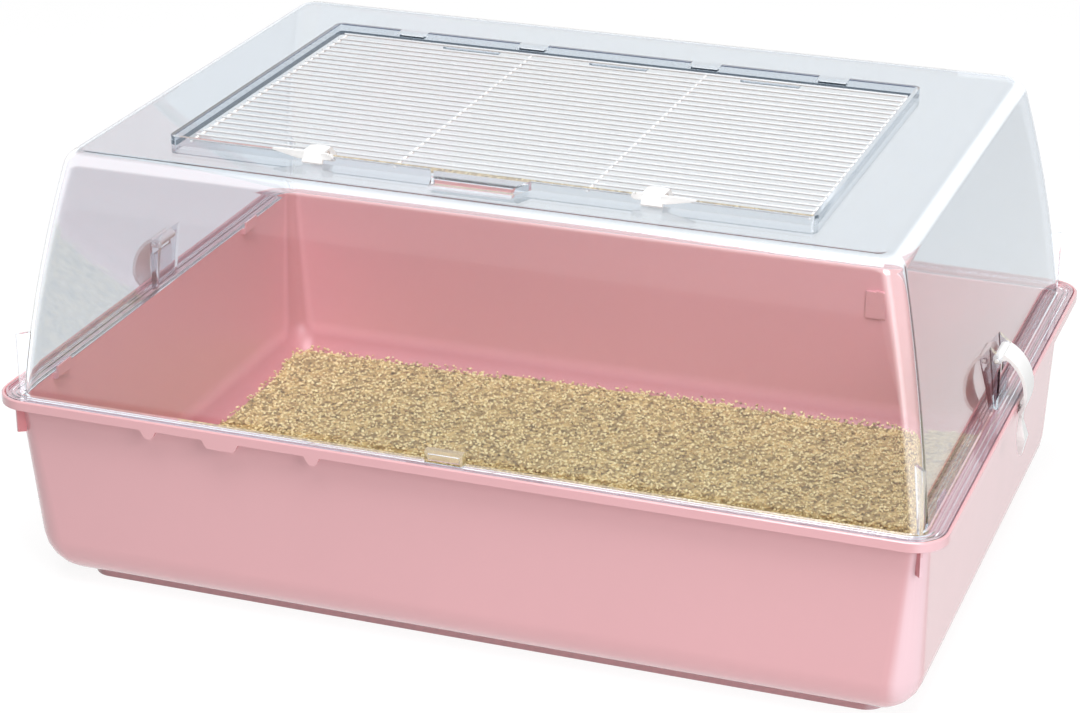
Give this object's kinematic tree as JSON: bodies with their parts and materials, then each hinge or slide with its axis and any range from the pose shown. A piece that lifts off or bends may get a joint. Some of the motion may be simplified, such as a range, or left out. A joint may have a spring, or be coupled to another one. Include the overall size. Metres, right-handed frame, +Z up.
{
  "type": "small animal keeper",
  "caption": "Plastic keeper for small pets: open tub, lift-off clear hood with a tilting wire roof grille, snap clips and a shallow bed of litter.",
  "frame": {"origin": "centre of the footprint on the ground, under the middle of the tub", "axes": "+X along the length to the viewer's right when facing the front, +Y from the front to the back, +Z up"},
  "size_m": [0.5612, 0.39, 0.2732],
  "materials": {
    "tub_plastic": "satin moulded",
    "litter": "loose granules",
    "clear_plastic": "polished, transparent",
    "coated_wire": "gloss coated",
    "white_plastic": "satin moulded"
  },
  "bodies": {
    "tub": {"tub": "tub_plastic", "litter": "litter"},
    "hood": {"hood": "clear_plastic"},
    "grille": {"grille_back_wire": "coated_wire", "grille_bars": "coated_wire", "grille_front_wire": "coated_wire", "grille_cross_wires": "coated_wire"},
    "roof_clip_left": {"roof_clip_left": "white_plastic"},
    "roof_clip_right": {"roof_clip_right": "white_plastic"},
    "end_clip_left": {"end_clip_left": "white_plastic"},
    "end_clip_right": {"end_clip_right": "white_plastic"}
  },
  "joints": [
    {"name": "hood_lift", "type": "slide", "parent": "tub", "child": "hood", "axis": [0, 0, 1], "range_m": [0, 0.18]},
    {"name": "grille_tilt", "type": "hinge", "parent": "hood", "child": "grille", "pos_m": [0, 0.097, 0.2646], "axis": [-1, 0, 0], "range_deg": [0, 40]},
    {"name": "roof_clip_left_turn", "type": "hinge", "parent": "grille", "child": "roof_clip_left", "pos_m": [-0.0975, -0.1175, 0.2646], "axis": [-1, 0, 0], "range_deg": [0, 90]},
    {"name": "roof_clip_right_turn", "type": "hinge", "parent": "grille", "child": "roof_clip_right", "pos_m": [0.0975, -0.1175, 0.2646], "axis": [-1, 0, 0], "range_deg": [0, 90]},
    {"name": "end_clip_left_turn", "type": "hinge", "parent": "hood", "child": "end_clip_left", "pos_m": [-0.2629, 0, 0.1525], "axis": [0, 1, 0], "range_deg": [0, 100]},
    {"name": "end_clip_right_turn", "type": "hinge", "parent": "hood", "child": "end_clip_right", "pos_m": [0.2629, 0, 0.1525], "axis": [0, -1, 0], "range_deg": [0, 100]}
  ]
}
